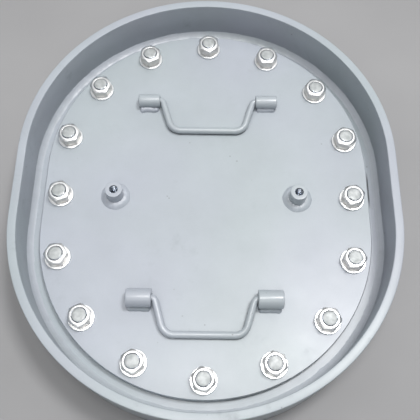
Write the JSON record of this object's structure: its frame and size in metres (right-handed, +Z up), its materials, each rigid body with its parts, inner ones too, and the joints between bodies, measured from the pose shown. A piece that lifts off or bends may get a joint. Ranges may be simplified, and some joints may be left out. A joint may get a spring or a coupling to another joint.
{
  "type": "oval bolted manhole cover",
  "caption": "Oval blind cover plate with folding bail handles and tapped bosses, bolted on a gasket to studs in a seat ring sunk inside a welded coaming.",
  "frame": {"origin": "centre of the coaming's lower edge, at the bottom of the part's box", "axes": "+X across the oval's short way, +Y along its long way, +Z up out of the opening"},
  "size_m": [0.544, 0.6438, 0.1],
  "materials": {
    "paint": "semi-matt light blue-grey paint",
    "cover_paint": "semi-matt light blue-grey paint",
    "painted_weld": "painted weld bead",
    "stainless": "bright turned stainless steel",
    "gasket_rubber": "matt black rubber"
  },
  "bodies": {
    "coaming": {"coaming_ring": "paint", "seat_ring": "paint", "seat_weld_top": "painted_weld", "seat_weld_bottom": "painted_weld", "studs": "stainless", "stud_welds": "painted_weld"},
    "gasket": {"gasket": "gasket_rubber"},
    "cover": {"cover_plate": "cover_paint", "upper_left_sleeve": "cover_paint", "upper_left_sleeve_weld": "painted_weld", "upper_right_sleeve": "cover_paint", "upper_right_sleeve_weld": "painted_weld", "lower_left_sleeve": "cover_paint", "lower_left_sleeve_weld": "painted_weld", "lower_right_sleeve": "cover_paint", "lower_right_sleeve_weld": "painted_weld", "left_boss": "cover_paint", "right_boss": "cover_paint", "left_boss_weld": "painted_weld", "right_boss_weld": "painted_weld"},
    "washers": {"washers": "stainless"},
    "nuts": {"nuts": "stainless"},
    "upper_handle": {"upper_handle": "cover_paint"},
    "lower_handle": {"lower_handle": "cover_paint"}
  },
  "joints": [
    {"name": "cover_lift", "type": "slide", "parent": "coaming", "child": "cover", "axis": [0, 0, 1], "range_m": [0, 0.16]},
    {"name": "gasket_lift", "type": "slide", "parent": "coaming", "child": "gasket", "axis": [0, 0, 1], "range_m": [0, 0.08]},
    {"name": "washers_off", "type": "slide", "parent": "coaming", "child": "washers", "axis": [0, 0, 1], "range_m": [0, 0.2]},
    {"name": "nuts_off", "type": "slide", "parent": "coaming", "child": "nuts", "axis": [0, 0, 1], "range_m": [0, 0.24]},
    {"name": "upper_handle_swing", "type": "hinge", "parent": "cover", "child": "upper_handle", "pos_m": [0, 0.16, 0.058], "axis": [-1, 0, 0], "range_deg": [0, 190.8]},
    {"name": "lower_handle_swing", "type": "hinge", "parent": "cover", "child": "lower_handle", "pos_m": [0, -0.157, 0.061], "axis": [-1, 0, 0], "range_deg": [0, 198.1]}
  ],
  "couplings": [
    {"joint": "gasket_lift", "follows": "cover_lift", "ratio": 0.5},
    {"joint": "washers_off", "follows": "cover_lift", "ratio": 1.25},
    {"joint": "nuts_off", "follows": "cover_lift", "ratio": 1.5}
  ]
}
